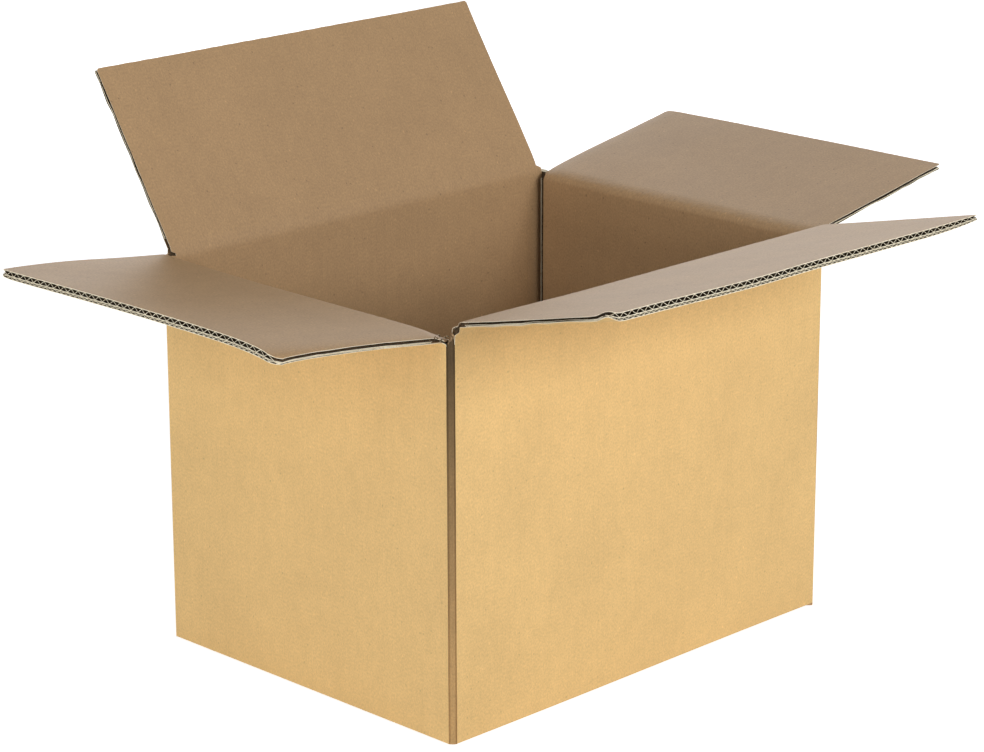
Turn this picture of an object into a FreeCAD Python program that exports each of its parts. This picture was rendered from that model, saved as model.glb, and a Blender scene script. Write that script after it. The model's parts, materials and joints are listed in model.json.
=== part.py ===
# Open slotted carton of double-wall corrugated board: one cut and creased sheet, folded
# into four walls with a glued side joint, a glued bottom and four top flaps.
# Millimetres, +Z up. The origin is on the table at the middle of the box, X runs along
# the long walls and Y along the end walls. The glued joint is at the rear right corner.
import FreeCAD, Part
import os
import re
import Sketcher

SIZES = [
    ("box_length", 460.0, "outside, across the two end walls"),
    ("box_width", 354.0, "outside, across the two long walls"),
    ("end_crease_height", 344.0, "table to the fold of the end flaps"),
    ("liner", 0.4, "each of the three flat papers of the board"),
    ("fine_layer", 2.2, "fluted layer under the outer liner"),
    ("coarse_layer", 3.8, "fluted layer under the inner liner"),
    ("fine_pitch", 5.9, "one wave of the fine layer"),
    ("coarse_pitch", 8.9, "one wave of the coarse layer"),
    ("flute_web", 0.9, "fluted paper, measured along the edge of the board"),
    ("flute_depth", 24.0, "how far in from a cut edge the flutes stay open"),
    ("edge_margin", 2.0, "board left whole at the side edges of a flap"),
    ("end_flap_depth", 180.0, "fold to outer edge of an end flap"),
    ("flap_meeting_gap", 3.0, "between the two long flaps when they are closed"),
    ("bottom_seam_offset", 4.0, "middle of the box to the bottom seam, towards the rear"),
    ("long_flap_inset", 2.5, "side edge of a long flap to the face of the end wall"),
    ("slot_clearance", 0.8, "side edge of an end flap to the inside of the long wall"),
    ("layer_clearance", 0.3, "closed end flap to the long flap over it"),
    ("fold_clearance", 0.3, "root of a flap to the bevelled top of its wall"),
    ("corner_flat", 5.0, "leg of the crushed strip down the front left fold"),
    ("fold_flat", 1.2, "leg of the narrow flat down the other upright folds"),
    ("bottom_flat", 1.2, "leg of the narrow flat along each bottom fold"),
    ("end_wall_lift", 0.3, "table to the fold under an end wall"),
    ("bottom_slot_clearance", 1.5, "side edge of a long bottom flap to the end wall"),
    ("joint_gap", 9.4, "raw edge of the end wall to the rear wall at the joint"),
    ("tab_width", 36.0, "glue tab, from the rear corner to its free edge"),
    ("tab_setback", 12.0, "glue tab to the fold above it and to the table"),
    ("tab_taper", 12.0, "how much the free edge of the tab is cut back at each end"),
    ("front_flap_open", 77.0, "degrees outward from upright"),
    ("rear_flap_open", 34.3, "degrees outward from upright"),
    ("left_flap_open", 82.5, "degrees outward from upright"),
    ("right_flap_open", 80.5, "degrees outward from upright"),
]

# Sizes that follow from the ones above, written as expressions of the sheet's aliases.
BOARD = "(3 * liner + fine_layer + coarse_layer)"
HALF_LENGTH = "(box_length / 2)"
HALF_WIDTH = "(box_width / 2)"
INNER_HALF_LENGTH = f"(box_length / 2 - {BOARD})"
INNER_HALF_WIDTH = f"(box_width / 2 - {BOARD})"
LONG_CREASE_HEIGHT = f"(end_crease_height + {BOARD} + layer_clearance)"
LONG_FLAP_DEPTH = "(box_width / 2 - flap_meeting_gap / 2)"
LONG_FLAP_WIDTH = "(box_length - 2 * long_flap_inset)"
END_FLAP_WIDTH = f"(box_width - 2 * {BOARD} - 2 * slot_clearance)"

doc = FreeCAD.newDocument("OpenCarton")
sheet = doc.addObject("Spreadsheet::Sheet", "Sizes")
for row, (alias, size, note) in enumerate(SIZES, start=1):
    sheet.set(f"A{row}", note)
    sheet.set(f"B{row}", str(size))
    sheet.setAlias(f"B{row}", alias)
doc.recompute()

ALIASES = re.compile(r"\b(" + "|".join(alias for alias, size, note in SIZES) + r")\b")


def bound(text):
    """The same expression with each alias read from the sheet."""
    return ALIASES.sub(r"Sizes.\1", text)


def origin_plane(body, role):
    return [feature for feature in body.Origin.OriginFeatures if feature.Role == role][0]


def mirrored(outline):
    """The outline reflected to the other side of the sketch's upright axis."""
    return [(f"-({across})", up) for across, up in reversed(outline)]


def add_sketch(body, name, role, outlines, offset=None):
    """Closed outlines of straight lines, every corner placed by expressions."""
    sketch = body.newObject("Sketcher::SketchObject", name)
    sketch.AttachmentSupport = (origin_plane(body, role), [""])
    sketch.MapMode = "FlatFace"
    if offset:
        sketch.setExpression("AttachmentOffset.Base.z", bound(offset))
    for outline in outlines:
        first = sketch.GeometryCount
        places = [[float(body.evalExpression(bound(text))) for text in corner] for corner in outline]
        corners = [FreeCAD.Vector(across, up, 0) for across, up in places]
        for start, end in zip(corners, corners[1:] + corners[:1]):
            sketch.addGeometry(Part.LineSegment(start, end), False)
        for index, corner in enumerate(outline):
            line = first + index
            following = first + (index + 1) % len(outline)
            sketch.addConstraint(Sketcher.Constraint("Coincident", line, 2, following, 1))
            for kind, text, place in zip(("DistanceX", "DistanceY"), corner, places[index]):
                made = sketch.addConstraint(Sketcher.Constraint(kind, -1, 1, line, 1, place))
                sketch.renameConstraint(made, f"{kind}_{line}")
                sketch.setExpression(f"Constraints.{kind}_{line}", bound(text))
    return sketch


def add_pad(body, name, sketch, length, centred=False):
    pad = body.newObject("PartDesign::Pad", name)
    pad.Profile = sketch
    pad.Midplane = centred
    pad.setExpression("Length", bound(length))
    doc.recompute()
    return pad


def add_pocket(body, name, sketch, length, centred=False):
    """A pocket that has to take material away."""
    before = body.Shape.Volume
    pocket = body.newObject("PartDesign::Pocket", name)
    pocket.Profile = sketch
    pocket.Midplane = centred
    pocket.setExpression("Length", bound(length))
    doc.recompute()
    if pocket.Shape.isNull() or pocket.Shape.Volume >= before:
        raise RuntimeError(f"{name} removes nothing")
    return pocket


def add_carton(name):
    """Four walls, glue tab and closed bottom."""
    body = doc.addObject("PartDesign::Body", name)
    body.Label = name

    # The walls in plan: a ring from the raw edge of the right wall round to the rear right
    # corner. The front left fold is crushed to a wide flat, and the others are nearly sharp.
    ring = [
        (f"corner_flat - {HALF_LENGTH}", f"-{HALF_WIDTH}"),
        (f"{HALF_LENGTH} - fold_flat", f"-{HALF_WIDTH}"),
        (HALF_LENGTH, f"fold_flat - {HALF_WIDTH}"),
        (HALF_LENGTH, f"{INNER_HALF_WIDTH} - joint_gap"),
        (INNER_HALF_LENGTH, f"{INNER_HALF_WIDTH} - joint_gap"),
        (INNER_HALF_LENGTH, f"-{INNER_HALF_WIDTH}"),
        (f"-{INNER_HALF_LENGTH}", f"-{INNER_HALF_WIDTH}"),
        (f"-{INNER_HALF_LENGTH}", INNER_HALF_WIDTH),
        (HALF_LENGTH, INNER_HALF_WIDTH),
        (HALF_LENGTH, HALF_WIDTH),
        (f"fold_flat - {HALF_LENGTH}", HALF_WIDTH),
        (f"-{HALF_LENGTH}", f"{HALF_WIDTH} - fold_flat"),
        (f"-{HALF_LENGTH}", f"corner_flat - {HALF_WIDTH}"),
    ]
    add_pad(body, "walls", add_sketch(body, "wall_plan", "XY_Plane", [ring]), LONG_CREASE_HEIGHT)

    # The end walls fold one board lower than the long walls, so their flaps close first.
    end_top = [
        (f"-{INNER_HALF_WIDTH}", "end_crease_height"),
        (INNER_HALF_WIDTH, "end_crease_height"),
        (INNER_HALF_WIDTH, LONG_CREASE_HEIGHT),
        (f"-{INNER_HALF_WIDTH}", LONG_CREASE_HEIGHT),
    ]
    end_tops = add_sketch(body, "end_wall_tops", "YZ_Plane", [end_top])
    add_pocket(body, "lower_end_walls", end_tops, "box_length", centred=True)

    # The score crushes the inside of each fold, so the wall's top is bevelled to its hinge line.
    long_bevel = [
        (f"-{HALF_WIDTH}", LONG_CREASE_HEIGHT),
        (f"-{INNER_HALF_WIDTH}", f"{LONG_CREASE_HEIGHT} - {BOARD}"),
        (f"-{INNER_HALF_WIDTH}", LONG_CREASE_HEIGHT),
    ]
    long_bevels = add_sketch(body, "long_fold_bevels", "YZ_Plane", [long_bevel, mirrored(long_bevel)])
    add_pocket(body, "long_folds", long_bevels, "box_length", centred=True)
    end_bevel = [
        (f"-{HALF_LENGTH}", "end_crease_height"),
        (f"-{INNER_HALF_LENGTH}", f"end_crease_height - {BOARD}"),
        (f"-{INNER_HALF_LENGTH}", "end_crease_height"),
    ]
    end_bevels = add_sketch(body, "end_fold_bevels", "XZ_Plane", [end_bevel, mirrored(end_bevel)])
    add_pocket(body, "end_folds", end_bevels, f"2 * {INNER_HALF_WIDTH}", centred=True)

    # Under each end wall the fold climbs inward, over the side edges of the long bottom flaps.
    end_underside = [
        (f"-{HALF_LENGTH}", "0"),
        (f"-{HALF_LENGTH}", "end_wall_lift + bottom_flat"),
        (f"bottom_flat - {HALF_LENGTH}", "end_wall_lift"),
        (f"-{INNER_HALF_LENGTH}", BOARD),
        (f"-{INNER_HALF_LENGTH}", "0"),
    ]
    end_undersides = [end_underside, mirrored(end_underside)]
    undersides = add_sketch(body, "end_wall_undersides", "XZ_Plane", end_undersides)
    add_pocket(body, "bottom_end_folds", undersides, f"2 * {INNER_HALF_WIDTH}", centred=True)

    # The bottom is glued shut: end flaps inside, long flaps outside and meeting near the middle.
    end_flap = [
        (f"{BOARD} / 2 - {HALF_LENGTH}", BOARD),
        (f"end_flap_depth - {HALF_LENGTH}", BOARD),
        (f"end_flap_depth - {HALF_LENGTH}", f"2 * {BOARD}"),
        (f"{BOARD} / 2 - {HALF_LENGTH}", f"2 * {BOARD}"),
    ]
    end_flaps = add_sketch(body, "bottom_end_flap_sections", "XZ_Plane", [end_flap, mirrored(end_flap)])
    add_pad(body, "bottom_end_flaps", end_flaps, END_FLAP_WIDTH, centred=True)
    front_edge = "(bottom_seam_offset - flap_meeting_gap / 2)"
    front_flap = [
        (f"{BOARD} / 2 - {HALF_WIDTH}", "0"),
        (front_edge, "0"),
        (front_edge, BOARD),
        (f"{BOARD} / 2 - {HALF_WIDTH}", BOARD),
    ]
    rear_edge = "(bottom_seam_offset + flap_meeting_gap / 2)"
    rear_flap = [
        (rear_edge, "0"),
        (f"{HALF_WIDTH} - {BOARD} / 2", "0"),
        (f"{HALF_WIDTH} - {BOARD} / 2", BOARD),
        (rear_edge, BOARD),
    ]
    long_flaps = add_sketch(body, "bottom_long_flap_sections", "YZ_Plane", [front_flap, rear_flap])
    long_width = f"2 * {INNER_HALF_LENGTH} - 2 * bottom_slot_clearance"
    add_pad(body, "bottom_long_flaps", long_flaps, long_width, centred=True)
    long_flat = [
        (f"-{HALF_WIDTH}", "0"),
        (f"-{HALF_WIDTH}", "bottom_flat"),
        (f"bottom_flat - {HALF_WIDTH}", "0"),
    ]
    long_flats = add_sketch(body, "bottom_long_fold_flats", "YZ_Plane", [long_flat, mirrored(long_flat)])
    add_pocket(body, "bottom_long_folds", long_flats, "box_length", centred=True)

    # The rear wall runs on past the corner as a tab, glued to the outside of the right wall.
    tab_face = f"({HALF_LENGTH} + {BOARD})"
    tab_plan = [
        (HALF_LENGTH, f"{HALF_WIDTH} - tab_width"),
        (tab_face, f"{HALF_WIDTH} - tab_width"),
        (tab_face, f"{HALF_WIDTH} - fold_flat"),
        (f"{tab_face} - fold_flat", HALF_WIDTH),
        (HALF_LENGTH, HALF_WIDTH),
    ]
    tab = add_sketch(body, "tab_plan", "XY_Plane", [tab_plan], offset="tab_setback")
    add_pad(body, "glue_tab", tab, "end_crease_height - 2 * tab_setback")
    tab_edge = f"{HALF_WIDTH} - tab_width"
    lower_cut = [
        (tab_edge, "tab_setback"),
        (INNER_HALF_WIDTH, "tab_setback"),
        (tab_edge, "tab_setback + tab_taper"),
    ]
    upper_cut = [
        (tab_edge, "end_crease_height - tab_setback"),
        (tab_edge, "end_crease_height - tab_setback - tab_taper"),
        (INNER_HALF_WIDTH, "end_crease_height - tab_setback"),
    ]
    tab_cuts = add_sketch(body, "tab_end_cuts", "YZ_Plane", [lower_cut, upper_cut], offset=tab_face)
    add_pocket(body, "tab_ends", tab_cuts, BOARD)
    return body


def add_flutes(body, name, pitch, low, high, width, depth, both_sides):
    """Open waves along the flap's cut edge, between two heights in the board's thickness.

    The channels under each wave face the outer liner, and those over it face the inner one.
    """
    waves = f"floor(({width} - 2 * edge_margin) / {pitch} - 0.5)"
    start = f"(-({waves} / 2 + 0.25) * {pitch})"
    lean = f"(flute_web * ({high} - {low}) / {pitch})"
    under = [
        (f"{start} + flute_web / 2", low),
        (f"{start} + {pitch} - flute_web / 2", low),
        (f"{start} + {pitch} / 2", f"{high} - {lean}"),
    ]
    over = [
        (f"{start} + {pitch} / 2 + flute_web / 2", high),
        (f"{start} + {pitch}", f"{low} + {lean}"),
        (f"{start} + 1.5 * {pitch} - flute_web / 2", high),
    ]
    channels = [under, over] if both_sides else [under]
    wave = add_sketch(body, f"{name}_wave", "XY_Plane", channels, offset=depth)
    pocket = add_pocket(body, f"{name}_flute", wave, "flute_depth")
    row = body.newObject("PartDesign::LinearPattern", f"{name}_flutes")
    row.Originals = [pocket]
    row.Direction = (wave, ["H_Axis"])
    row.setExpression("Occurrences", bound(waves))
    row.setExpression("Length", bound(f"({waves} - 1) * {pitch}"))
    body.Tip = row
    doc.recompute()


def add_flap(name, width, depth, hinge, yaw, opening):
    """A top flap, drawn upright on its hinge line with its outside facing -Y, then put in place."""
    body = doc.addObject("PartDesign::Body", name)
    body.Label = name
    section = [
        ("0", "fold_clearance"),
        ("0", depth),
        (BOARD, depth),
        (BOARD, f"{BOARD} + fold_clearance"),
    ]
    add_pad(body, "board", add_sketch(body, "board_section", "YZ_Plane", [section]), width, centred=True)
    fine_top = "(liner + fine_layer)"
    coarse_foot = "(2 * liner + fine_layer)"
    coarse_top = "(2 * liner + fine_layer + coarse_layer)"
    add_flutes(body, "coarse", "coarse_pitch", coarse_foot, coarse_top, width, depth, both_sides=True)
    add_flutes(body, "fine", "fine_pitch", "liner", fine_top, width, depth, both_sides=False)
    across, along, up = hinge
    place = f"placement(vector({across}; {along}; {up}); rotation({yaw}; 0; {opening}))"
    body.setExpression("Placement", bound(place))
    return body


def add_flaps():
    """Long flaps on the front and rear walls, end flaps on the left and right walls."""
    front_hinge = ("0", f"-{HALF_WIDTH}", LONG_CREASE_HEIGHT)
    right_hinge = (HALF_LENGTH, "0", "end_crease_height")
    rear_hinge = ("0", HALF_WIDTH, LONG_CREASE_HEIGHT)
    left_hinge = (f"-{HALF_LENGTH}", "0", "end_crease_height")
    return [
        add_flap("front_flap", LONG_FLAP_WIDTH, LONG_FLAP_DEPTH, front_hinge, 0, "front_flap_open"),
        add_flap("right_flap", END_FLAP_WIDTH, "end_flap_depth", right_hinge, 90, "right_flap_open"),
        add_flap("rear_flap", LONG_FLAP_WIDTH, LONG_FLAP_DEPTH, rear_hinge, 180, "rear_flap_open"),
        add_flap("left_flap", END_FLAP_WIDTH, "end_flap_depth", left_hinge, 270, "left_flap_open"),
    ]


def check(bodies):
    """Stops if any feature failed or any piece is not one sound solid."""
    for item in doc.Objects:
        if "Invalid" in item.State or "Error" in item.State:
            raise RuntimeError(f"{item.Name} failed")
    for body in bodies:
        if body.Shape.isNull() or not body.Shape.isValid() or len(body.Shape.Solids) != 1:
            raise RuntimeError(f"{body.Label} is not one valid solid")


bodies = [add_carton("box_body")] + add_flaps()
doc.recompute()
check(bodies)
os.makedirs("parts", exist_ok=True)
for body in bodies:
    body.Shape.exportStep(f"parts/{body.Label}.step")
    print(body.Label, round(body.Shape.Volume), len(body.Shape.Faces), body.Shape.BoundBox)
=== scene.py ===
"""Looks of an open carton of double-wall corrugated board.

Every panel is built from the sheets that the board is made of: an outer liner, a fine fluted
medium, a middle liner, a coarse fluted medium and an inner liner. Lengths are in metres.
"""

import json
import math

import bpy
import numpy as np
from mathutils import Matrix, Vector


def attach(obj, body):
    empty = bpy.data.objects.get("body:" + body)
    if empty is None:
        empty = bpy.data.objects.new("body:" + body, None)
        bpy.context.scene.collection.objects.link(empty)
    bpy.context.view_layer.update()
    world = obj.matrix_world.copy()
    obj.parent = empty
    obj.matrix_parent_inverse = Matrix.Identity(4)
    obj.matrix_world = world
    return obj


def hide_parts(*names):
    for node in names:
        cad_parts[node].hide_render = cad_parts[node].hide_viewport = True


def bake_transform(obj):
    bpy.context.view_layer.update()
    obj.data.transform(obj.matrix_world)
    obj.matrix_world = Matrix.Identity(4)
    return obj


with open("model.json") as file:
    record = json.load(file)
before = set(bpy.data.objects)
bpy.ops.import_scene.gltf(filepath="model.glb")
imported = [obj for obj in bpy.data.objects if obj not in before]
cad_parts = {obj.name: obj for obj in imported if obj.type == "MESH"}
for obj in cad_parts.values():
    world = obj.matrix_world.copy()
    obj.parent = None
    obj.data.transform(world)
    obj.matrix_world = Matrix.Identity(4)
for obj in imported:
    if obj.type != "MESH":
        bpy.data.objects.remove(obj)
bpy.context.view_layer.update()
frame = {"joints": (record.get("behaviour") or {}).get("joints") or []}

MM = 0.001
UP = np.array([0.0, 0.0, 1.0])
SMOOTH_ANGLE = math.radians(38)

# The board, from its outer face inwards.
LINER = 0.6 * MM
MEDIUM = 0.4 * MM
FINE_LAYER = 1.95 * MM
COARSE_LAYER = 3.45 * MM
BOARD = 3 * LINER + FINE_LAYER + COARSE_LAYER
FINE_PITCH = 5.9 * MM
COARSE_PITCH = 8.9 * MM
MIDDLE = LINER + FINE_LAYER
COARSE_FOOT = MIDDLE + LINER
WASHBOARD = 0.03 * MM

# The walls and the bottom. SEAM_BOARD and END_FLOOR say where the open board of the floor begins.
HALF_LENGTH = 230 * MM
HALF_WIDTH = 177 * MM
CRUSHED_FLAT = 5.0 * MM
FOLD_FLAT = 1.2 * MM
BOTTOM_FLAT = 1.2 * MM
END_WALL_LIFT = 0.1 * MM
INNER_FILLET = 1.5 * MM
END_FLAP_DEPTH = 180 * MM
WALL_ROWS = 12
FLAP_ROWS = 14
MEDIUM_ROWS = 6
SEAM_OFFSET = 4.0 * MM
SEAM_GAP = 3.0 * MM
SEAM_BOARD = 30 * MM
END_FLOOR = 26 * MM
RAW_EDGE = 160.4 * MM
SCORE_NEAR = (211.4 * MM, 212.6 * MM)
SCORE_LINE = 211.9 * MM
SCORE_FAR = (223.2 * MM, 225.2 * MM)
EDGE_TURN = (226.6 * MM, 228.8 * MM)
TAB_EDGE = 141 * MM
TAB_LOW = 12 * MM
TAB_HIGH = 332 * MM
TAB_TAPER = 12 * MM

# The folds of the top flaps: how far the creased board reaches from the fold.
WALL_REACH = 9.0 * MM
FLAP_REACH = 13.0 * MM
RECESS = 2.3 * MM

# The crushed slot's dark tint is partly the crushed paper and partly painted shade of the groove.
# The flute slot's faces get the near-black flute paper: painted shade for the dark inside of the corrugation.
OUTER, INNER, CUT, FLUTE_PAINTED_SHADE, CRUSHED = range(5)


def ripple(x, y, wavelength, seed):
    """Smooth uneven waves between about -1 and 1, the same on each run."""
    rng = np.random.default_rng(seed)
    total = np.zeros(np.broadcast(x, y).shape)
    for step in range(6):
        direction = rng.uniform(0, 2 * math.pi)
        length = wavelength * rng.uniform(0.6, 1.7)
        phase = rng.uniform(0, 2 * math.pi)
        distance = x * math.cos(direction) + y * math.sin(direction)
        total = total + np.sin(2 * math.pi * distance / length + phase)
    return total / 3.2


def smooth(value, low, high):
    share = np.clip((value - low) / (high - low), 0, 1)
    return share * share * (3 - 2 * share)


def spread(low, high, step):
    return np.linspace(low, high, max(2, int(round((high - low) / step)) + 1))


def graded(low, high, count, power=1.0):
    """Rows from low to high, closer together near high."""
    share = np.linspace(0, 1, count)
    return high - (high - low) * (1 - share) ** power


def curve(start, middle, end, count):
    share = np.linspace(0, 1, count)[:, None]
    start, middle, end = (np.array(p) for p in (start, middle, end))
    return start * (1 - share) ** 2 + middle * 2 * share * (1 - share) + end * share ** 2


class Side:
    """A wall and its flap. u runs along the fold, t from the outer face inwards, v up from the fold."""

    def __init__(self, flap, opening, half_width, depth, seed):
        joint = next(joint for joint in frame["joints"] if joint["child"] == flap)
        self.flap = flap
        self.name = flap.replace("_flap", "")
        self.hinge = np.array(joint["pos_m"])
        self.along = np.array(joint["axis"], float)
        self.outward = np.cross(self.along, UP)
        self.angle = math.radians(opening)
        self.half_width = half_width
        self.depth = depth
        self.seed = seed

    def place(self, u, t, v, angle=0.0):
        inward = UP * math.sin(angle) - self.outward * math.cos(angle)
        away = UP * math.cos(angle) + self.outward * math.sin(angle)
        u, t, v = (np.asarray(x, float)[..., None] for x in np.broadcast_arrays(u, t, v))
        return self.hinge + u * self.along + t * inward + v * away

    def board(self, u, v):
        """Where a point lies on the flat blank, for the paper's grain."""
        u, v = np.broadcast_arrays(u, v)
        return np.stack([u + self.seed * 0.1, v, np.zeros_like(u)], axis=-1)

    def to_flap(self, t, z):
        """A point of the wall's section, in the section of the opened flap."""
        cos, sin = math.cos(self.angle), math.sin(self.angle)
        return t * cos + z * sin, z * cos - t * sin

    def to_wall(self, t, v):
        """A point of the opened flap's section, in the section of the wall."""
        cos, sin = math.cos(self.angle), math.sin(self.angle)
        return t * cos - v * sin, t * sin + v * cos

    def relief(self, label, u, s):
        """How far a liner sinks between the tips of the flutes, at s up the blank from the fold."""
        pitch, key = (FINE_PITCH, 5) if label == "outer" else (COARSE_PITCH, 6)
        strength = 1 + 0.6 * ripple(u, s * 0.15, 40 * MM, self.seed + key)
        return WASHBOARD * strength * (1 + np.cos(2 * math.pi * u / pitch)) / 2


SIDES = {
    "front": Side("front_flap", 77.0, 227.5 * MM, 175.5 * MM, 10),
    "right": Side("right_flap", 80.5, 169.0 * MM, 180.0 * MM, 20),
    "rear": Side("rear_flap", 34.3, 227.5 * MM, 175.5 * MM, 30),
    "left": Side("left_flap", 82.5, 169.0 * MM, 180.0 * MM, 40),
}


class Shell:
    """Collects closed sheets of paper into one mesh."""

    def __init__(self):
        self.points = []
        self.board = []
        self.quads = []
        self.slots = []
        self.count = 0

    def slab(self, near, far, board, near_slot, far_slot, rims):
        """A closed sheet between two grids. The rims are first row, last row, first and last column."""
        rows, columns = near.shape[:2]
        size = rows * columns
        ids = np.arange(size).reshape(rows, columns)
        front = self._quads(ids[:-1, :-1], ids[:-1, 1:], ids[1:, 1:], ids[1:, :-1])
        back = self._quads(ids[:-1, :-1], ids[1:, :-1], ids[1:, 1:], ids[:-1, 1:]) + size
        first_row = self._quads(ids[0, 1:], ids[0, :-1], ids[0, :-1] + size, ids[0, 1:] + size)
        last_row = self._quads(ids[-1, :-1], ids[-1, 1:], ids[-1, 1:] + size, ids[-1, :-1] + size)
        first_column = self._quads(ids[:-1, 0], ids[1:, 0], ids[1:, 0] + size, ids[:-1, 0] + size)
        last_column = self._quads(ids[1:, -1], ids[:-1, -1], ids[:-1, -1] + size, ids[1:, -1] + size)
        parts = [front, back, first_row, last_row, first_column, last_column]
        slots = [near_slot, far_slot] + list(rims)
        points = np.concatenate([near.reshape(-1, 3), far.reshape(-1, 3)])
        quads = np.concatenate(parts)
        if self._volume(points, quads) < 0:
            quads = quads[:, ::-1]
        self.points.append(points)
        self.board.append(np.concatenate([board.reshape(-1, 3)] * 2))
        self.quads.append(quads + self.count)
        self.slots.append(np.concatenate([np.full(len(part), slot) for part, slot in zip(parts, slots)]))
        self.count += len(points)

    @staticmethod
    def _quads(a, b, c, d):
        return np.stack([a.ravel(), b.ravel(), c.ravel(), d.ravel()], axis=-1)

    @staticmethod
    def _volume(points, quads):
        a, b, c, d = (points[quads[:, i]] for i in range(4))
        return (np.cross(a, b) * c).sum() + (np.cross(a, c) * d).sum()

    def make(self, name):
        mesh = bpy.data.meshes.new(name)
        points = np.concatenate(self.points)
        quads = np.concatenate(self.quads)
        mesh.from_pydata(points.tolist(), [], quads.tolist())
        mesh.polygons.foreach_set("material_index", np.concatenate(self.slots).astype(np.int32))
        mesh.polygons.foreach_set("use_smooth", np.ones(len(quads), bool))
        place = mesh.attributes.new("board", "FLOAT_VECTOR", "POINT")
        place.data.foreach_set("vector", np.concatenate(self.board).astype(np.float32).ravel())
        mesh.update()
        mesh.set_sharp_from_angle(angle=SMOOTH_ANGLE)
        made = bpy.data.objects.new(name, mesh)
        bpy.context.scene.collection.objects.link(made)
        for material in PAPERS:
            mesh.materials.append(material)
        return made


# Materials


def node(tree, kind, inputs=None, **settings):
    made = tree.nodes.new(kind)
    for key, value in settings.items():
        setattr(made, key, value)
    for key, value in (inputs or {}).items():
        if isinstance(value, bpy.types.NodeSocket):
            tree.links.new(value, made.inputs[key])
        else:
            made.inputs[key].default_value = value
    return made


def maths(tree, operation, first, second=0.0, third=None):
    inputs = {0: first, 1: second}
    if third is not None:
        inputs[2] = third
    return node(tree, "ShaderNodeMath", inputs, operation=operation).outputs[0]


def grain(tree, place, scale, stretch=(1, 1, 1), detail=2.0, roughness=0.5):
    """Noise over the blank, with scale in features per metre."""
    scaled = node(tree, "ShaderNodeMapping", {"Vector": place, "Scale": tuple(scale * s for s in stretch)})
    noise = node(tree, "ShaderNodeTexNoise", {
        "Vector": scaled.outputs[0], "Scale": 1.0, "Detail": detail, "Roughness": roughness})
    return noise.outputs["Fac"]


def between(tree, value, low, high, out_low, out_high):
    inputs = {"Value": value, "From Min": low, "From Max": high, "To Min": out_low, "To Max": out_high}
    return node(tree, "ShaderNodeMapRange", inputs).outputs[0]


def around_one(tree, value, swing):
    return between(tree, value, 0.3, 0.7, 1 - swing, 1 + swing)


def product(tree, *values):
    result = values[0]
    for value in values[1:]:
        result = maths(tree, "MULTIPLY", result, value)
    return result


def kraft(name, colour, streaks, cloud, mottle, specks, roughness, pitch, painted_top_shade=None):
    """Kraft paper: cloudy pulp, fine mottle, faint streaks along the flutes, fibres and specks. The wave at
    the flute pitch is partly painted washboard shade and partly the flutes showing through, and the optional
    last argument paints shade darker towards the top.
    """
    material = bpy.data.materials.new(name)
    material.use_nodes = True
    tree = material.node_tree
    shader = tree.nodes["Principled BSDF"]
    place = node(tree, "ShaderNodeAttribute", attribute_name="board").outputs["Vector"]
    across = node(tree, "ShaderNodeSeparateXYZ", {0: place})

    streak = around_one(tree, grain(tree, place, 230, (1, 0.03, 1), 3, 0.6), streaks)
    # A wave at the flute pitch: partly painted washboard shade, partly the flutes showing through the liner.
    flute = maths(tree, "SINE", maths(tree, "MULTIPLY", across.outputs[0], 2 * math.pi / pitch))
    flute = maths(tree, "MULTIPLY_ADD", flute, streaks * 0.4, 1.0)
    clouds = around_one(tree, grain(tree, place, 13, (1, 0.8, 1), 3, 0.55), cloud)
    patches = around_one(tree, grain(tree, place, 90, (1, 0.7, 1), 3, 0.6), cloud * 0.8)
    pulp = around_one(tree, grain(tree, place, 620, (1, 0.75, 1), 2, 0.65), mottle)
    shade = product(tree, streak, flute, clouds, patches, pulp)

    bits = node(tree, "ShaderNodeMapping", {"Vector": place, "Scale": (230.0, 180.0, 1.0)})
    cells = node(tree, "ShaderNodeTexVoronoi", {"Vector": bits.outputs[0], "Scale": 1.0})
    rare = node(tree, "ShaderNodeSeparateColor", {0: cells.outputs["Color"]})
    dark_size = maths(tree, "MULTIPLY", maths(tree, "GREATER_THAN", rare.outputs[0], 0.93), 0.17)
    dark_bit = maths(tree, "LESS_THAN", cells.outputs["Distance"], dark_size)
    pale_size = maths(tree, "MULTIPLY", maths(tree, "LESS_THAN", rare.outputs[0], 0.05), 0.2)
    pale_bit = maths(tree, "LESS_THAN", cells.outputs["Distance"], pale_size)
    shade = product(tree, shade, maths(tree, "MULTIPLY_ADD", dark_bit, -specks, 1.0),
                    maths(tree, "MULTIPLY_ADD", pale_bit, specks * 0.6, 1.0))
    # Painted shade: the paper gets darker towards the top, as under the flaps.
    if painted_top_shade:
        low, high, share = painted_top_shade
        shade = product(tree, shade, between(tree, across.outputs[1], low, high, 1.0, share))
    mixed = node(tree, "ShaderNodeVectorMath", {0: colour[:3], "Scale": shade}, operation="SCALE").outputs[0]
    tree.links.new(mixed, shader.inputs["Base Color"])

    fine = grain(tree, place, 900, (1, 0.7, 1), 3, 0.6)
    bump = node(tree, "ShaderNodeBump", {"Height": fine, "Strength": 0.2, "Distance": 0.12 * MM})
    tree.links.new(bump.outputs[0], shader.inputs["Normal"])
    shader.inputs["Roughness"].default_value = roughness
    shader.inputs["Specular IOR Level"].default_value = 0.42
    return material


def cut_paper(name, pale, brown, share):
    """The torn and sliced edges of the sheets: pale fibres with brown patches."""
    material = bpy.data.materials.new(name)
    material.use_nodes = True
    tree = material.node_tree
    shader = tree.nodes["Principled BSDF"]
    place = node(tree, "ShaderNodeTexCoord").outputs["Object"]
    patch = between(tree, grain(tree, place, 240, (1, 1, 1), 4, 0.7), share - 0.08, share + 0.08, 0, 1)
    mixed = node(tree, "ShaderNodeMix", {"Factor": patch}, data_type="RGBA")
    mixed.inputs[6].default_value = brown
    mixed.inputs[7].default_value = pale
    tree.links.new(mixed.outputs[2], shader.inputs["Base Color"])
    shader.inputs["Roughness"].default_value = 0.9
    shader.inputs["Specular IOR Level"].default_value = 0.2
    return material


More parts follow.
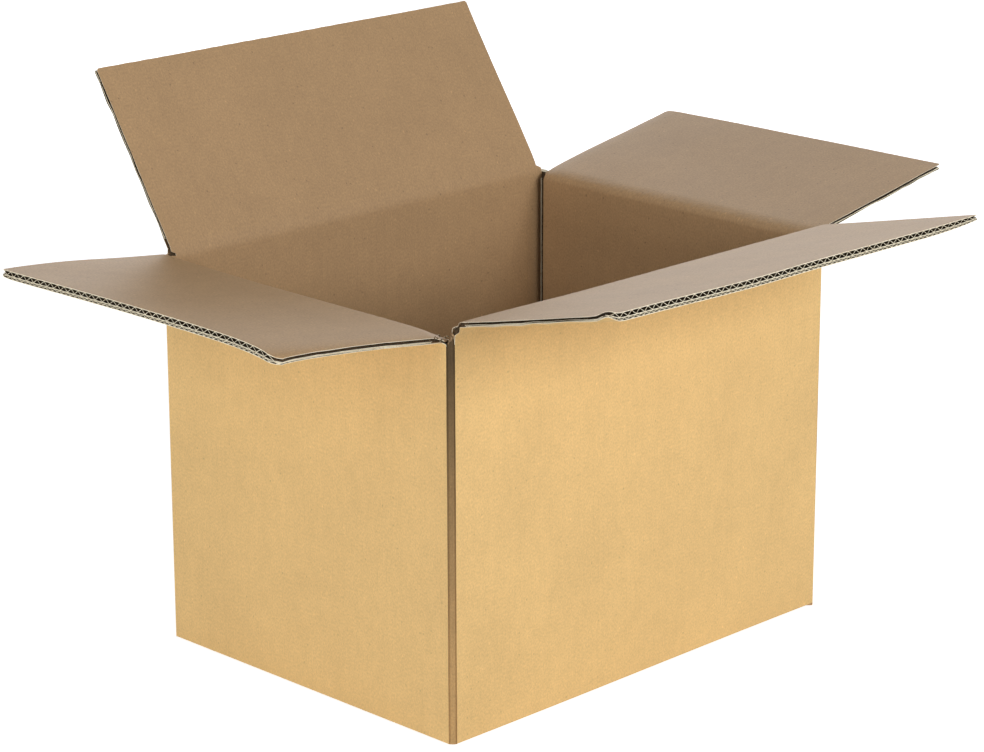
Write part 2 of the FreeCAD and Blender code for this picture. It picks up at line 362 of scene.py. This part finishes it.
OUTER_KRAFT = (0.80, 0.54, 0.225, 1.0)
INNER_KRAFT = (0.48, 0.305, 0.155, 1.0)
PAPERS = [
    kraft("outer_kraft", OUTER_KRAFT, 0.012, 0.04, 0.11, 0.2, 0.6, FINE_PITCH),
    kraft("inner_kraft", INNER_KRAFT, 0.014, 0.045, 0.14, 0.35, 0.6, COARSE_PITCH),
    cut_paper("cut_edge", (1.0, 0.90, 0.68, 1.0), (0.74, 0.54, 0.30, 1.0), 0.36),
    # The flute paper is near black: painted shade for the dark inside of the corrugation.
    cut_paper("flute_paper_painted_shade", (0.12, 0.08, 0.045, 1.0), (0.06, 0.04, 0.022, 1.0), 0.5),
    # The crushed corner strip: its dark tint is partly the crushed paper and partly painted shade of the
    # groove, and it darkens towards the top as painted shade under the flaps.
    kraft("crushed_kraft_painted_shade", (0.47, 0.29, 0.12, 1.0), 0.05, 0.08, 0.15, 0.3, 0.85, FINE_PITCH,
          painted_top_shade=(-0.30, -0.02, 0.18)),
]


# Flaps


def flap_form(side, bend, presses, trims=None, corners=(), curl=(), skew=(0.0, 0.0)):
    """How a flap departs from a flat board: bent, crushed at its edges, trimmed, curled and rounded.

    presses gives for each end of the flap how far the inner and the outer liner are pushed
    in, and how far along the flap that reaches.
    """
    half, depth, seed = side.half_width, side.depth, side.seed
    trims = trims or {}

    def form(u, t, v):
        share = u / half
        reach = np.clip(v / depth, 0, 1)
        thickness = np.clip(t / BOARD, 0, 1)
        middle = 1 - np.abs(2 * thickness - 1)
        shift = bend(share, reach) + 0.25 * MM * ripple(u, v, 130 * MM, seed) * np.clip(v / (20 * MM), 0, 1)
        for corner, amount, radius in curl:
            away = np.hypot(u - corner * half, (v - depth) * 0.8)
            shift = shift + amount * np.exp(-(away / radius) ** 2)
        for end, (inner, outer, width) in presses.items():
            nearness = np.exp(-np.clip(half - end * u, 0, None) / width)
            rough = ripple(v, 0 * v, 15 * MM, seed + 1 + end)
            shift = shift - inner * nearness * thickness * (1 + 0.08 * rough)
            shift = shift + outer * nearness * (1 - thickness) * (1 + 0.3 * rough)
        edge = np.clip(half - np.abs(u), 0, None)
        ragged = (0.15 + 0.5 * middle) * MM * ripple(v, thickness * 30 * MM, 11 * MM, seed + 2)
        ragged = ragged + 0.25 * middle * MM * ripple(v, thickness * 50 * MM, 4 * MM, seed + 3)
        u = u + np.sign(u) * ragged * np.exp(-edge / (3 * MM)) * smooth(v, 2 * MM, 8 * MM)
        for end, (amount, decay) in trims.items():
            u = np.where(end * u > 0, u * (1 - amount / half * np.exp(-np.clip(v, 0, None) / decay)), u)
        for end, radius in corners:
            inside = np.clip(end * share * half - (half - radius), 0, radius)
            v = v - (radius - np.sqrt(radius ** 2 - inside ** 2)) * reach ** 12
        v = v + 0.12 * MM * ripple(u, thickness * 20 * MM, 12 * MM, seed + 4) * reach ** 12
        u = u * (1 + skew[0]) + skew[1] * reach
        return u, t + shift, v

    return form


def flat(u, t, v):
    return u, t, v


def add_board(shell, side, place, low_u, high_u, starts, end, form=flat, rows=12, recess=0.0):
    """Corrugated board up to a cut edge. starts says where each sheet begins for its depth in the board."""
    columns = spread(low_u, high_u, FINE_PITCH / 4)

    def sheet(near_t, far_t, start, u, count, near_slot, far_slot, shift=0.0, rims=(CUT,) * 4):
        v = graded(start, end - shift, count, 1.4)[:, None]
        u = u[None, :] + 0 * v
        v = v + 0 * u
        near = place(*form(u, near_t(u, v), v))
        far = place(*form(u, far_t(u, v), v))
        shell.slab(near, far, side.board(u, v), near_slot, far_slot, rims)

    sheet(lambda u, v: side.relief("outer", u, v), lambda u, v: LINER + 0 * u,
          starts(0.0), columns, rows, OUTER, FLUTE_PAINTED_SHADE)
    sheet(lambda u, v: MIDDLE + 0 * u, lambda u, v: COARSE_FOOT + 0 * u,
          starts(MIDDLE), spread(low_u, high_u, COARSE_PITCH / 2), rows, FLUTE_PAINTED_SHADE, FLUTE_PAINTED_SHADE, 0.1 * MM)
    sheet(lambda u, v: BOARD - LINER + 0 * u, lambda u, v: BOARD - side.relief("inner", u, v),
          starts(BOARD), columns, rows, FLUTE_PAINTED_SHADE, INNER)
    for foot, layer, pitch, key in (
            (LINER, FINE_LAYER, FINE_PITCH, 7), (COARSE_FOOT, COARSE_LAYER, COARSE_PITCH, 8)):
        middle = foot + layer / 2
        height = (layer - MEDIUM) / 2
        inset = recess if key == 8 else recess * 0.2
        u = spread(low_u + inset, high_u - inset, pitch / 12)
        phase = 2 * math.pi * u / pitch + 0.35 * ripple(u, 0 * u, 45 * MM, side.seed + key)
        wave = height * np.arcsin(0.94 * np.sin(phase)) / math.asin(0.94)
        slope = np.gradient(wave, u)
        lift = np.minimum(MEDIUM / 2 * np.sqrt(1 + slope ** 2), MEDIUM * 0.8)
        # The coarse medium takes the near-black flute paper, which is painted shade deep in the coarse
        # flutes. The fine medium shows pale cut paper.
        slot = FLUTE_PAINTED_SHADE if key == 8 else CUT
        rims = (FLUTE_PAINTED_SHADE, CUT, FLUTE_PAINTED_SHADE, FLUTE_PAINTED_SHADE) if key == 8 else (CUT,) * 4
        sheet(lambda u, v, w=wave, k=lift, m=middle: m + w[None, :] - k[None, :] + 0 * v,
              lambda u, v, w=wave, k=lift, m=middle: m + w[None, :] + k[None, :] + 0 * v,
              starts(middle), u, min(rows, MEDIUM_ROWS), slot, slot, 0.15 * MM, rims)


def make_flap(side, form):
    shell = Shell()

    def place(u, t, v):
        return side.place(u, t, v, side.angle)

    add_board(shell, side, place, -side.half_width, side.half_width, lambda t: FLAP_REACH, side.depth,
              form, FLAP_ROWS, RECESS)
    made = shell.make(f"{side.flap}_board")
    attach(made, side.flap)
    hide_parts(side.flap)


def make_fold(side, leave, rejoin, outer_ends, inner_ends, form, bead=0.0, slump=(1, 0.0, 1.0)):
    """The creased board between a wall and its flap: two liners over a crushed core."""
    count = 13
    meet = (BOARD, BOARD * math.tan(side.angle / 2))
    inner = np.concatenate([
        [(BOARD, -WALL_REACH)],
        curve((BOARD, leave), meet, side.to_wall(BOARD, rejoin), count),
        [side.to_wall(BOARD, FLAP_REACH)],
    ])
    outer = np.concatenate([
        [(0, -WALL_REACH)],
        curve((0, -4 * MM), (0, 0), side.to_wall(0, 4 * MM), count),
        [side.to_wall(0, FLAP_REACH)],
    ])
    share = np.linspace(-1, 1, int(2 * side.half_width / (FINE_PITCH / 4)) + 1)[None, :]
    progress = np.linspace(0, 1, count + 2)[:, None]
    step = smooth(progress, 0.42, 0.58)

    def layer(path, label, ends, sink, recess):
        """One face of the fold, moved in by sink from the path, on the opened carton."""
        direction = np.gradient(path, axis=0)
        direction = direction / np.linalg.norm(direction, axis=1, keepdims=True)
        inwards = 1 if label == "outer" else -1
        normal = inwards * np.stack([direction[:, 1], -direction[:, 0]], axis=-1)
        low = ends[0] * (1 - step) - side.half_width * step + recess
        high = ends[1] * (1 - step) + side.half_width * step - recess
        u = (low + high) / 2 + share * (high - low) / 2
        length = np.concatenate([[0], np.cumsum(np.linalg.norm(np.diff(path, axis=0), axis=1))])
        s = -WALL_REACH + (length / length[-1])[:, None] * (WALL_REACH + FLAP_REACH) + 0 * u
        if sink is None:
            sink = side.relief(label, u, s)
            crest = (progress - 0.5) / 0.13
            knots = 0.6 + 0.4 * np.cos(2 * math.pi * u / COARSE_PITCH)
            if label == "inner":
                sink = sink - bead * knots * np.exp(-crest ** 2)
            sink = sink + 0.1 * MM * ripple(u, s, 9 * MM, side.seed + 20) * np.sin(math.pi * progress) ** 2
        point = path[:, None, :] + normal[:, None, :] * np.broadcast_to(sink, u.shape)[..., None]
        nearness = np.exp(-(side.half_width - slump[0] * u) / slump[2])
        fallen = slump[1] * nearness * np.sin(math.pi * progress) ** 2
        point[..., 1] -= np.where(point[..., 1] > 0, fallen * np.clip(point[..., 1] / (5 * MM), 0, 1), 0)
        t, v = side.to_flap(point[..., 0], point[..., 1])
        weight = smooth(v, -0.5 * MM, 6 * MM)
        base = np.clip(v, 0, None)
        new_u, new_t, new_v = form(u, t, base)
        u = u + step * (new_u - u)
        t = t + weight * (new_t - t)
        v = v + weight * (new_v - base)
        return side.place(*([u] + list(side.to_wall(t, v)))), side.board(u, s)

    outer_face, outer_board = layer(outer, "outer", outer_ends, None, 0.0)
    outer_back, _ = layer(outer, "outer", outer_ends, LINER, 0.0)
    inner_face, inner_board = layer(inner, "inner", inner_ends, None, 0.0)
    inner_back, _ = layer(inner, "inner", inner_ends, LINER, 0.0)
    core_near, _ = layer(outer, "outer", outer_ends, LINER, RECESS)
    core_far, _ = layer(inner, "inner", inner_ends, LINER, RECESS)
    shell = Shell()
    shell.slab(outer_face, outer_back, outer_board, OUTER, INNER, (OUTER, OUTER, CUT, CUT))
    shell.slab(core_near, core_far, outer_board, INNER, INNER, (INNER, INNER, FLUTE_PAINTED_SHADE, FLUTE_PAINTED_SHADE))
    shell.slab(inner_face, inner_back, inner_board, INNER, INNER, (INNER, INNER, CUT, CUT))
    made = shell.make(f"{side.name}_fold")
    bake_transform(made)


# Walls and bottom


def long_profile(side, wall_rows, edge):
    """Down a long wall, round the bottom fold and in to the seam: outer and inner path as (t, z)."""
    crease = side.hinge[2]
    heights = np.linspace(crease - WALL_REACH, BOTTOM_FLAT * 2, wall_rows)
    inner_heights = np.linspace(crease - WALL_REACH, BOARD * 1.6, wall_rows)
    turn = curve((0, BOTTOM_FLAT), (0.25 * BOTTOM_FLAT, 0.25 * BOTTOM_FLAT), (BOTTOM_FLAT, 0), 6)
    floor = np.linspace(2 * BOARD, HALF_WIDTH + edge - SEAM_BOARD, 4)
    outer = [(0, z) for z in heights] + [tuple(p) for p in turn] + [(t, 0) for t in floor]
    inner_turn = curve((BOARD, BOARD * 1.25), (BOARD, BOARD), (BOARD * 1.25, BOARD), 6)
    inner = [(BOARD, z) for z in inner_heights] + [tuple(p) for p in inner_turn] + [(t, BOARD) for t in floor]
    return np.array(outer), np.array(inner)


def end_profile(side, wall_rows):
    """Down an end wall and in under the floor flap, one board above the table."""
    crease = side.hinge[2]
    lift = END_WALL_LIFT
    heights = np.linspace(crease - WALL_REACH, BOTTOM_FLAT * 2 + lift, wall_rows)
    inner_heights = np.linspace(crease - WALL_REACH, BOARD * 2.6, wall_rows)
    turn = curve((0, BOTTOM_FLAT + lift), (0.25 * BOTTOM_FLAT, lift), (BOTTOM_FLAT, lift), 5)
    floor = np.linspace(BOARD * 1.1, END_FLOOR, 4)
    outer = [(0, z) for z in heights] + [tuple(p) for p in turn] + [(t, BOARD) for t in floor]
    inner_turn = curve((BOARD, BOARD * 2.3), (BOARD, BOARD * 2), (BOARD * 1.3, BOARD * 2), 5)
    inner_floor = np.linspace(BOARD * 1.5, END_FLOOR, 4)
    inner = [(BOARD, z) for z in inner_heights] + [tuple(p) for p in inner_turn]
    inner = inner + [(t, BOARD * 2) for t in inner_floor]
    return np.array(outer), np.array(inner)


def add_wall(shell, side, outer_ends, inner_ends, profile, lift=None, dent=None, fine=None):
    """One wall with its bottom fold. The ends say how far its outer and inner faces run along u."""
    outer, inner = profile
    columns = spread(inner_ends[0], inner_ends[1], FINE_PITCH / 4)
    if fine:
        columns = np.unique(np.concatenate([columns, spread(fine[0], fine[1], 0.35 * MM)]))
    scale = (outer_ends[1] - outer_ends[0]) / (inner_ends[1] - inner_ends[0])
    stretched = outer_ends[0] + (columns - inner_ends[0]) * scale
    length = np.concatenate([[0], np.cumsum(np.linalg.norm(np.diff(outer, axis=0), axis=1))])

    def face(path, label, row):
        direction = np.gradient(path, axis=0)
        direction = direction / np.linalg.norm(direction, axis=1, keepdims=True)
        inwards = 1 if label == "outer" else -1
        normal = inwards * np.stack([-direction[:, 1], direction[:, 0]], axis=-1)
        u = row[None, :] + 0 * path[:, :1]
        s = path[:, 1:] - side.hinge[2] + 0 * u
        moved = path[:, None, :] + normal[:, None, :] * side.relief(label, u, s)[..., None]
        fade = smooth(-s, 14 * MM, 70 * MM) * smooth(path[:, 1:], 10 * MM, 60 * MM)
        moved[..., 0] += 0.3 * MM * ripple(u, s, 170 * MM, side.seed + 9) * fade
        if lift is not None:
            moved[..., 1] += lift(u) * np.exp(-path[:, 1:] / (8 * MM)) * np.exp(-path[:, :1] / (8 * MM))
        return u, moved

    u, near = face(outer, "outer", stretched)
    inner_u, far = face(inner, "inner", columns)
    if dent is not None:
        far[..., 0] -= dent(inner_u, far[..., 1])
    board = side.board(u, -WALL_REACH - length[:, None] + 0 * u)
    shell.slab(side.place(u, near[..., 0], near[..., 1] - side.hinge[2]),
               side.place(inner_u, far[..., 0], far[..., 1] - side.hinge[2]),
               board, OUTER, INNER, (INNER, FLUTE_PAINTED_SHADE, INNER, FLUTE_PAINTED_SHADE))


def corner_path(sign_x, sign_y, flat_leg, count):
    """An upright fold in plan, from the long wall to the end wall: outer and inner path."""
    share = np.linspace(0, 1, count)
    start = np.array([HALF_LENGTH - flat_leg, HALF_WIDTH])
    end = np.array([HALF_LENGTH, HALF_WIDTH - flat_leg])
    if flat_leg > 2 * MM:
        first = np.exp(-((share - 0.1) / 0.07) ** 2)
        second = np.exp(-((share - 0.88) / 0.07) ** 2)
        groove = 0.9 * MM * (first + 0.8 * second)
        groove = groove + 0.3 * MM * np.sin(math.pi * share) + 0.12 * MM * np.sin(share * 31)
        outer = start + share[:, None] * (end - start) - groove[:, None] / math.sqrt(2)
    else:
        outer = curve(start, (HALF_LENGTH - 0.25 * flat_leg, HALF_WIDTH - 0.25 * flat_leg), end, count)
    angle = share * math.pi / 2
    centre = np.array([HALF_LENGTH, HALF_WIDTH]) - BOARD - INNER_FILLET
    inner = centre + INNER_FILLET * np.stack([np.sin(angle), np.cos(angle)], axis=-1)
    flip = np.array([sign_x, sign_y])
    return outer * flip, inner * flip


def add_corner(shell, sign_x, sign_y, flat_leg, seed):
    crushed = flat_leg > 2 * MM
    count = 25 if crushed else 7
    outer, inner = corner_path(sign_x, sign_y, flat_leg, count)
    share = np.linspace(0, 1, count)
    long_top = SIDES["front"].hinge[2]
    end_top = SIDES["left"].hinge[2]
    drop = 2.5 * MM if crushed else 1.0 * MM
    top = long_top - drop + (end_top - long_top) * share
    inner_top = long_top - 1 * MM + (end_top - long_top) * share
    if crushed:
        top = top + 0.7 * MM * np.sin(share * 23 + seed)
    rows = np.linspace(0, 1, 60)[:, None]
    bottom = 0.3 * MM
    z_outer = bottom + (top - bottom)[None, :] * rows
    z_inner = bottom + (inner_top - bottom)[None, :] * rows
    inside = np.sin(math.pi * share)[None, :] ** 0.5 if crushed else 0
    wander = 0.25 * MM * ripple(z_outer, share[None, :] * 5 * MM, 24 * MM, seed) * inside
    near = np.concatenate([np.broadcast_to(outer, (len(rows), count, 2)), z_outer[..., None]], axis=-1)
    near[..., 0] += wander * sign_x
    near[..., 1] += wander * sign_y
    far = np.concatenate([np.broadcast_to(inner, (len(rows), count, 2)), z_inner[..., None]], axis=-1)
    step = np.concatenate([[0], np.cumsum(np.linalg.norm(np.diff(outer, axis=0), axis=1))])
    board = np.stack([step[None, :] + seed + 0 * z_outer, z_outer - long_top, 0 * z_outer], axis=-1)
    shell.slab(near, far, board, CRUSHED if crushed else OUTER, INNER, (INNER,) * 4)


def add_joint(shell):
    """The glue tab: the rear wall runs on round the rear right corner, outside the right wall."""
    x, y = HALF_LENGTH, HALF_WIDTH
    face = x + BOARD
    turn = curve((face - FOLD_FLAT, y), (face - 0.25 * FOLD_FLAT, y - 0.25 * FOLD_FLAT),
                 (face, y - FOLD_FLAT), 9)
    run = spread(TAB_EDGE, y - FOLD_FLAT - 1 * MM, FINE_PITCH / 4)[::-1]
    outer = np.concatenate([[[x, y]], turn, [[face, place] for place in run]])
    inner_turn = curve((x, y - BOARD), (x + 0.1 * MM, y - BOARD), (x + 0.1 * MM, y - BOARD - 0.4 * MM), 9)
    inner_run = np.linspace(y - BOARD - 1 * MM, TAB_EDGE, len(run))
    inner = np.concatenate([[[x, y - BOARD]], inner_turn, [[x + 0.1 * MM, place] for place in inner_run]])
    cut = np.clip((y - BOARD - outer[:, 1]) / (y - BOARD - TAB_EDGE), 0, 1) * TAB_TAPER
    rows = np.linspace(0, 1, 16)[:, None]
    top = TAB_HIGH - cut + 17 * MM * smooth(outer[:, 1], y - 13.5 * MM, y - 11 * MM)
    z = (TAB_LOW + cut)[None, :] * (1 - rows) + top[None, :] * rows
    near = np.concatenate([np.broadcast_to(outer, (16, len(outer), 2)), z[..., None]], axis=-1)
    far = np.concatenate([np.broadcast_to(inner, (16, len(inner), 2)), z[..., None]], axis=-1)
    step = np.concatenate([[0], np.cumsum(np.linalg.norm(np.diff(outer, axis=0), axis=1))])
    board = np.stack([step[None, :] + 5.3 + 0 * z, z - 0.35, 0 * z], axis=-1)
    # The tab's inner face takes the near-black flute paper: painted shade in the deep slot of the joint.
    shell.slab(near, far, board, OUTER, FLUTE_PAINTED_SHADE, (CUT,) * 4)


def add_shreds(shell):
    """Torn paper standing out where the crushed upright fold ends at the top."""
    rng = np.random.default_rng(5)
    roots = [(-233, -170.5, 347.5), (-237, -170, 348.5), (-241, -170, 349), (-246, -169.5, 350),
             (-229, -174, 349.5), (-227, -175.5, 350), (-225.5, -176.5, 352), (-230, -172, 348),
             (-235, -170.3, 350), (-224.5, -177, 355)]
    for root in roots:
        length, width = rng.uniform(1.6, 3.4) * MM, rng.uniform(0.7, 1.5) * MM
        outwards = np.array([-1, -1, 0]) / math.sqrt(2)
        heading = outwards * rng.uniform(0.1, 0.7)
        heading = heading + np.array([rng.uniform(-0.8, 0.4), 0, rng.uniform(-0.3, 0.9)])
        heading = heading / np.linalg.norm(heading)
        wide = np.cross(heading, outwards + np.array([0, 0, 0.3]))
        wide = wide / np.linalg.norm(wide)
        face = np.cross(heading, wide)
        along = np.linspace(0, 1, 4)[:, None]
        across = np.linspace(-0.5, 0.5, 3)[None, :]
        base = np.array(root) * MM + (along * length)[..., None] * heading
        base = base + (across * width * (1 - 0.5 * along))[..., None] * wide
        near = base + (0.5 * MM * along ** 2 + 0.1 * MM + 0 * across)[..., None] * face
        far = near - 0.3 * MM * face
        board = np.stack([along + 0 * across, across + 0 * along, 0 * along * across], axis=-1) * MM
        shell.slab(near, far, board, CUT, CRUSHED, (CUT,) * 4)


def joint_band(u, z):
    """The score beside the glued joint, crushed on the inside of the rear wall."""
    x = -u
    band = smooth(x, *SCORE_NEAR) * (1 - 0.9 * smooth(x, *SCORE_FAR))
    line = np.exp(-((x - SCORE_LINE) / (0.6 * MM)) ** 2)
    turn = smooth(x, *EDGE_TURN)
    return 0.35 * MM * band + 0.3 * MM * line + 1.2 * MM * turn


def front_lift(u):
    """How far the front bottom fold stands off the table."""
    return 0.3 * MM + 2.0 * MM * smooth(u, -180 * MM, 180 * MM)


def make_body(wall_ends):
    shell = Shell()
    front, right, rear, left = (SIDES[name] for name in ("front", "right", "rear", "left"))
    front_edge = SEAM_OFFSET - SEAM_GAP / 2
    rear_edge = -SEAM_OFFSET - SEAM_GAP / 2
    add_wall(shell, front, *wall_ends["front"], long_profile(front, WALL_ROWS, front_edge), front_lift)
    add_wall(shell, rear, *wall_ends["rear"], long_profile(rear, WALL_ROWS, rear_edge), None, joint_band,
             (-230 * MM, -206 * MM))
    add_wall(shell, left, *wall_ends["left"], end_profile(left, WALL_ROWS))
    add_wall(shell, right, *wall_ends["right"], end_profile(right, WALL_ROWS))
    add_corner(shell, -1, -1, CRUSHED_FLAT, 1)
    add_corner(shell, 1, -1, FOLD_FLAT, 2)
    add_corner(shell, -1, 1, FOLD_FLAT, 3)
    add_joint(shell)
    add_shreds(shell)
    long_half = HALF_LENGTH - BOARD - INNER_FILLET
    end_half = HALF_WIDTH - BOARD - INNER_FILLET
    for side, edge in ((front, front_edge), (rear, rear_edge)):

        def place(u, t, v, side=side):
            return side.place(u, v, t - side.hinge[2])

        add_board(shell, side, place, -long_half, long_half,
                  lambda t, edge=edge: HALF_WIDTH + edge - SEAM_BOARD, HALF_WIDTH + edge, flat, 3)
    for side in (left, right):

        def place(u, t, v, side=side):
            return side.place(u, v, t + BOARD - side.hinge[2])

        add_board(shell, side, place, -end_half, end_half, lambda t: END_FLOOR, END_FLAP_DEPTH, flat, 5)
    made = shell.make("carton_body")
    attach(made, "box_body")
    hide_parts("box_body")


# Room, light and camera

CAMERA_PLACE = (-2.0181, -2.0153, 1.0934)
CAMERA_AZIMUTH = math.radians(44.94)
CAMERA_ELEVATION = math.radians(16.83)
CAMERA_ROLL = math.radians(-0.144)
FOCAL_PIXELS = 3375
PHOTO_WIDTH = 984

WORLD_STRENGTH = 0.13
LAMPS = [
    ("left_low", (-3.2, -0.5, 0.35), (1.6, 0.7), 26),
    ("left_high", (-3.0, -0.5, 1.5), (1.6, 1.2), 25),
    ("right_high", (0.3, -3.2, 1.5), (1.6, 1.2), 64),
    ("back", (2.1, 2.1, 1.1), (2.6, 0.8), 30),
]


def make_camera():
    data = bpy.data.cameras.new("camera")
    data.sensor_width = 36
    data.lens = data.sensor_width * FOCAL_PIXELS / PHOTO_WIDTH
    data.clip_end = 50
    made = bpy.data.objects.new("camera", data)
    bpy.context.scene.collection.objects.link(made)
    turn = (Matrix.Rotation(-CAMERA_AZIMUTH, 4, "Z") @ Matrix.Rotation(math.pi / 2 - CAMERA_ELEVATION, 4, "X")
            @ Matrix.Rotation(CAMERA_ROLL, 4, "Z"))
    made.matrix_world = Matrix.Translation(CAMERA_PLACE) @ turn
    bpy.context.scene.camera = made


def make_lamp(name, place, size, power):
    data = bpy.data.lights.new(name, "AREA")
    data.shape = "RECTANGLE"
    data.size, data.size_y = size
    data.energy = power
    made = bpy.data.objects.new(name, data)
    bpy.context.scene.collection.objects.link(made)
    made.location = place
    made.rotation_euler = (Vector((0, 0, 0.2)) - Vector(place)).to_track_quat("-Z", "Y").to_euler()


def seen_directly(tree):
    """1 for rays from the camera and for mirror and glass rays, else 0."""
    path = node(tree, "ShaderNodeLightPath")
    seen = maths(tree, "MAXIMUM", path.outputs["Is Camera Ray"], path.outputs["Is Glossy Ray"])
    return maths(tree, "MAXIMUM", seen, path.outputs["Is Transmission Ray"])


def make_room():
    world = bpy.data.worlds.new("world")
    bpy.context.scene.world = world
    world.use_nodes = True
    tree = world.node_tree
    background = tree.nodes["Background"]
    background.inputs["Color"].default_value = (1, 1, 1, 1)
    strength = between(tree, seen_directly(tree), 0, 1, WORLD_STRENGTH, 1.0)
    tree.links.new(strength, background.inputs["Strength"])

    mesh = bpy.data.meshes.new("floor")
    reach = 9.0
    corners = [(-reach, -reach, 0), (reach, -reach, 0), (reach, reach, 0), (-reach, reach, 0)]
    mesh.from_pydata(corners, [], [(0, 1, 2, 3)])
    floor = bpy.data.objects.new("floor", mesh)
    bpy.context.scene.collection.objects.link(floor)
    floor.location.z = -0.0002
    material = bpy.data.materials.new("floor")
    material.use_nodes = True
    tree = material.node_tree
    shader = tree.nodes["Principled BSDF"]
    shader.inputs["Base Color"].default_value = (0.8, 0.8, 0.8, 1)
    shader.inputs["Roughness"].default_value = 0.9
    shader.inputs["Specular IOR Level"].default_value = 0.0
    shader.inputs["Emission Color"].default_value = (1, 1, 1, 1)
    tree.links.new(between(tree, seen_directly(tree), 0, 1, 0.0, 0.75), shader.inputs["Emission Strength"])
    mesh.materials.append(material)
    for lamp in LAMPS:
        make_lamp(*lamp)


def front_bend(share, reach):
    left_rise = 0.6 * MM * (1 - share) / 2 * reach
    right_fall = 0.6 * MM * (1 + share) / 2 * reach
    return left_rise + 1.9 * MM * smooth(-share, 0.2, 1.0) - right_fall


def right_bend(share, reach):
    return (1.35 - 0.35 * share) * MM * reach ** 2


def left_bend(share, reach):
    middle = 1.6 * MM * reach ** 2
    far = 2.9 * MM * (1 - reach ** 5)
    near_dip = 6.2 * MM * np.clip(share, 0, 1) ** 6 * reach ** 3
    return middle + np.clip(-share, 0, 1) ** 1.5 * (far - middle) - near_dip


def rear_bend(share, reach):
    return 0 * share * reach


def main():
    make_camera()
    make_room()
    front, right, rear, left = (SIDES[name] for name in ("front", "right", "rear", "left"))
    forms = {
        "front": flap_form(front, front_bend, {-1: (0, 3.2 * MM, 6 * MM), 1: (0, 3.2 * MM, 26 * MM)},
                           {-1: (7 * MM, 14 * MM)}, [(-1, 3 * MM), (1, 2 * MM)], [(-1, 3.2 * MM, 7 * MM)]),
        "right": flap_form(right, right_bend, {-1: (0, 3.0 * MM, 5 * MM), 1: (1.3 * MM, 0.5 * MM, 8 * MM)},
                           {1: (6 * MM, 50 * MM)}, [(-1, 2 * MM), (1, 4 * MM)]),
        "rear": flap_form(rear, rear_bend, {-1: (0, 3.0 * MM, 5 * MM), 1: (0, 3.0 * MM, 5 * MM)},
                          {-1: (1 * MM, 15 * MM)}, [(-1, 2 * MM), (1, 2 * MM)], (), (-0.0101, -2.5 * MM)),
        "left": flap_form(left, left_bend, {-1: (0, 1.5 * MM, 6 * MM), 1: (2.6 * MM, -0.4 * MM, 7 * MM)},
                          None, [(-1, 2 * MM), (1, 9 * MM)]),
    }
    long_wall = HALF_LENGTH - BOARD - INNER_FILLET
    end_wall = HALF_WIDTH - BOARD - INNER_FILLET
    wall_ends = {
        "front": ((CRUSHED_FLAT - HALF_LENGTH, HALF_LENGTH - FOLD_FLAT), (-long_wall, long_wall)),
        "right": ((FOLD_FLAT - HALF_WIDTH, RAW_EDGE), (-end_wall, RAW_EDGE)),
        "rear": ((-HALF_LENGTH, HALF_LENGTH - FOLD_FLAT), (-HALF_LENGTH, long_wall)),
        "left": ((FOLD_FLAT - HALF_WIDTH, HALF_WIDTH - CRUSHED_FLAT), (-end_wall, end_wall)),
    }
    folds = {
        "front": (0.5 * MM, 10 * MM, 0.0, (-1, 1.0 * MM, 8 * MM)),
        "right": (-1.5 * MM, 11 * MM, 0.4 * MM, (1, 1.0 * MM, 10 * MM)),
        "rear": (-5.5 * MM, 8.9 * MM, 0.0, (1, 1.0 * MM, 6 * MM)),
        "left": (-1 * MM, 11.5 * MM, 0.0, (1, 5.5 * MM, 12 * MM)),
    }
    make_body(wall_ends)
    for name, side in SIDES.items():
        make_flap(side, forms[name])
        leave, rejoin, bead, slump = folds[name]
        make_fold(side, leave, rejoin, wall_ends[name][0], wall_ends[name][1], forms[name], bead, slump)


main()
bpy.context.scene.view_settings.view_transform = "Standard"
